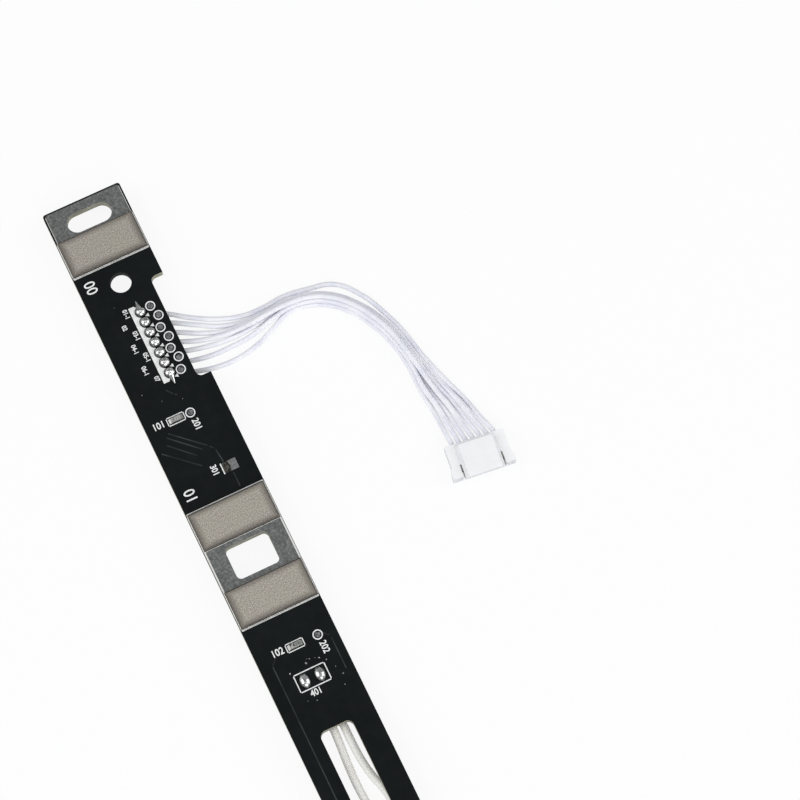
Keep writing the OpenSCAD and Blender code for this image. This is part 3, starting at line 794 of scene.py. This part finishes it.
bundle = [(24, 106, 0), (28, 105.5, -16), (31.5, 103.8, -36), (34.5, 100.8, -54),
          (36.8, 97, -66), (38.3, 92.8, -75), (39.2, 88.2, -81)]
lane = [(2, 0.5), (1, 0.5), (0.5, 1.3), (0, 2.15), (0, 0.5), (-0.5, 1.3), (-1, 0.5)]
loop_out = [0, 0, 0.9, 0.6, 0.1, 0, 0]
spread_y = [82.5, 77.5]
spread = [
    [(42.85, 0.5), (44.45, 0.6)], [(41.8, 0.5), (43.4, 1.1)], [(40.95, 0.95), (42.4, 0.7)],
    [(40.2, 1.5), (41.4, 1.25)], [(39.5, 0.5), (40.5, 0.6)], [(38.8, 1.2), (39.6, 0.95)],
    [(38.2, 0.5), (38.6, 0.6)]]
marked_wires = (4, 6)


def in_housing(x, y, z):
    """A place given from the middle of the housing's rear edge, in mm."""
    turn_x, turn_y = math.cos(CONNECTOR_TURN), math.sin(CONNECTOR_TURN)
    return (CONNECTOR_X + x * turn_x - y * turn_y, CONNECTOR_Y + x * turn_y + y * turn_x, z)


def wire_route(way):
    """The points of wire 1 to 7, from its joint to its contact."""
    start = (HEADER_X + STRIP_L, along(HEADER_AT + (way - MIDDLE_WAY) * JOINT_PITCH) / MM,
             CONDUCTOR_Z)
    out, height = lane[way - 1]
    route = [start] + fan_out[way - 1]
    for (x, y, heading), bow in zip(bundle, loop_out):
        side = out + (bow if way == 1 else 0)
        angle = math.radians(heading)
        route.append((x - side * math.sin(angle), y + side * math.cos(angle), height))
    for (x, z), y in zip(spread[way - 1], spread_y):
        route.append((x, y, z))
    way_x = (MIDDLE_WAY - way) * WAY_PITCH
    return route + [in_housing(0.9 * way_x - 0.8, 3, 1.25),
                    in_housing(0.97 * way_x - 0.3, 1.3, WAY_Z),
                    in_housing(way_x, -0.1, WAY_Z), in_housing(way_x, -WIRE_SEAT, WAY_Z)]


wire_marked = white_sleeve("wire_marked", srgb(247, 247, 252), srgb(234, 235, 245), 0.5)
wire_plain = white_sleeve("wire_plain", srgb(247, 247, 252), srgb(234, 235, 245), 0.0)
for way in range(1, WAYS + 1):
    route = wire_route(way)
    wire = smooth_tube(f"insulated_wire_{way}", route, WIRE_D,
                       wire_marked if way in marked_wires else wire_plain)
    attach(wire, "root")
    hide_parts(f"wire_{way}")

# ---- Connector ----
# A moulded nylon housing of seven ways, with a raised middle and two side arms that its
# header grips. Each wire is crimped in a tinned contact that clicks into its cavity.


def moulded_nylon():
    """White nylon, slightly waxy, with painted shade on its upright walls."""
    material, nodes, links, shader = new_material("moulded_nylon", srgb(250, 250, 252), 0.42)
    shader.inputs["Subsurface Weight"].default_value = 0.15
    shader.inputs["Subsurface Radius"].default_value = (0.0008, 0.0008, 0.0007)
    shader.inputs["Subsurface Scale"].default_value = 1
    flow = ramp(nodes, links, grain(nodes, links, 3, 4),
                (0.3, srgb(248, 248, 250)), (0.7, srgb(253, 253, 254)))
    # Upright walls get a greyer white: painted shade that brings out the relief.
    upright = ramp(nodes, links, flatness(nodes, links), (0.4, 1.0), (0.95, 0.0))
    links.new(blend_colours(nodes, links, upright, flow, srgb(222, 224, 228)),
              shader.inputs["Base Color"])
    bumps(nodes, links, shader, grain(nodes, links, 0.25, 3), 0.01, 0.4)
    return material


dress(moulded_nylon(), "connector_housing")

crimp, nodes, links, shader = new_material("crimp_tin", srgb(200, 196, 184), 0.3, 1)
links.new(ramp(nodes, links, grain(nodes, links, 0.5, 4),
               (0.3, srgb(170, 165, 150)), (0.7, srgb(222, 218, 205))), shader.inputs["Base Color"])
dress(crimp, *[f"crimp_contact_{way}" for way in range(1, WAYS + 1)])
